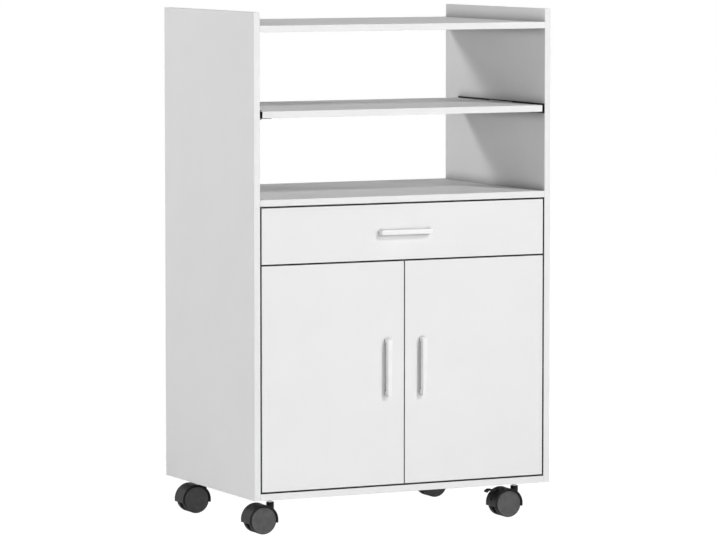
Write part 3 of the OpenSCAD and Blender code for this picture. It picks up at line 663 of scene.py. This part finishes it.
def times(tree, value, factor):
    """A value multiplied by a fixed factor."""
    product = add(tree, "ShaderNodeMath", {"operation": "MULTIPLY"}, {"Value": value})
    product.inputs[1].default_value = factor
    return product.outputs["Value"]


def mixed(tree, share, first, second):
    """The first shader, and the second one by its share."""
    mix = add(tree, "ShaderNodeMixShader")
    for socket, link in zip(mix.inputs, (share, first, second)):
        tree.links.new(link, socket)
    return mix.outputs["Shader"]


def floor_material():
    """Pale floor: to the camera a white that fills up its lit surface to 1, of which a faint share
    stays to keep the shadow."""
    material, tree, shader = surface("studio_floor", Roughness=0.9)
    shader.inputs["Base Color"].default_value = linear("#f2f2f2")
    path = add(tree, "ShaderNodeLightPath").outputs
    seen = either_ray(tree, path["Is Camera Ray"], path["Is Glossy Ray"])
    share = times(tree, seen, 1 - SHADOW_SHARE)
    filled = (1 - SHADOW_SHARE * LIT_FLOOR) / (1 - SHADOW_SHARE)
    white = add(tree, "ShaderNodeEmission", {"Color": (1, 1, 1, 1), "Strength": filled})
    output = next(n for n in tree.nodes if n.type == "OUTPUT_MATERIAL")
    tree.links.new(mixed(tree, share, shader.outputs["BSDF"], white.outputs["Emission"]),
                   output.inputs["Surface"])
    return material


def make_floor():
    """Square floor at the foot of the casters, far wider than the view."""
    mesh = bpy.data.meshes.new("studio_floor")
    corners = [(x * FLOOR_HALF, y * FLOOR_HALF, 0) for x, y in ((-1, -1), (1, -1), (1, 1), (-1, 1))]
    mesh.from_pydata(corners, [], [(0, 1, 2, 3)])
    mesh.materials.append(floor_material())
    floor = bpy.data.objects.new("studio_floor", mesh)
    bpy.context.scene.collection.objects.link(floor)


def make_world():
    """White to the camera, in gloss and through gaps; for lighting, a bright band round the horizon,
    whose strength falls from WORLD_BAND as (1 - |z|)^12."""
    world = bpy.data.worlds.new("studio_world")
    bpy.context.scene.world = world
    world.use_nodes = True
    tree = world.node_tree
    tree.nodes.clear()
    place = add(tree, "ShaderNodeTexCoord")
    split = add(tree, "ShaderNodeSeparateXYZ", links={"Vector": place.outputs["Generated"]})
    steep = add(tree, "ShaderNodeMath", {"operation": "ABSOLUTE"}, {"Value": split.outputs["Z"]})
    flat = add(tree, "ShaderNodeMath", {"operation": "SUBTRACT", "Value": 1.0})
    tree.links.new(steep.outputs["Value"], flat.inputs[1])
    band = add(tree, "ShaderNodeMath", {"operation": "POWER"}, {"Value": flat.outputs["Value"]})
    band.inputs[1].default_value = WORLD_FALL
    strength = times(tree, band.outputs["Value"], WORLD_BAND)
    light = add(tree, "ShaderNodeBackground", {"Color": (1, 1, 1, 1)}, {"Strength": strength})
    white = add(tree, "ShaderNodeBackground", {"Color": (1, 1, 1, 1), "Strength": 1.0})
    path = add(tree, "ShaderNodeLightPath").outputs
    seen = either_ray(tree, path["Is Camera Ray"], path["Is Glossy Ray"])
    seen = either_ray(tree, seen, path["Is Transmission Ray"])
    sky = mixed(tree, seen, light.outputs["Background"], white.outputs["Background"])
    add(tree, "ShaderNodeOutputWorld", links={"Surface": sky})


def softbox(name, azimuth, elevation, distance, size, watts):
    """Square area light at a bearing from the cart, turned towards the middle of the cart."""
    a, e = math.radians(azimuth), math.radians(elevation)
    away = np.array([math.sin(a) * math.cos(e), -math.cos(a) * math.cos(e), math.sin(e)])
    lamp = bpy.data.lights.new(name, "AREA")
    lamp.shape = "SQUARE"
    lamp.size = size
    lamp.energy = watts
    light = bpy.data.objects.new(name, lamp)
    bpy.context.scene.collection.objects.link(light)
    light.location = np.array(LIGHT_TARGET) + away * distance
    light.rotation_euler = (math.radians(90) - e, 0, a)


def make_lights():
    """A high key for the boards' shadows and a low one for those of the handles, both from the right
    front; a lamp from the left rear that reaches the right panel through the open bays; low wide
    boxes that fill; a weak one overhead."""
    for box in SOFTBOXES:
        softbox(*box)


def make_camera():
    """Stands far off on the cart's left front and looks slightly down, as in the photograph."""
    data = bpy.data.cameras.new("camera")
    data.sensor_width = SENSOR_WIDTH
    data.lens = FOCAL_PX / PHOTO_WIDTH * SENSOR_WIDTH
    data.clip_end = CAMERA_SIGHT
    camera = bpy.data.objects.new("camera", data)
    bpy.context.scene.collection.objects.link(camera)
    camera.location = CAMERA_PLACE
    camera.rotation_euler = (math.radians(90 - CAMERA_PITCH), 0, -math.radians(CAMERA_HEADING))
    bpy.context.scene.camera = camera


finish_nodes()
make_handles()
make_heads()
for corner in CORNERS:
    make_wheel(corner, "a")
    make_wheel(corner, "b")
    make_hood_lips(corner)
for end in ("front", "rear"):
    make_pedal(end)
make_floor()
make_world()
make_lights()
make_camera()
bpy.context.scene.view_settings.view_transform = "Standard"
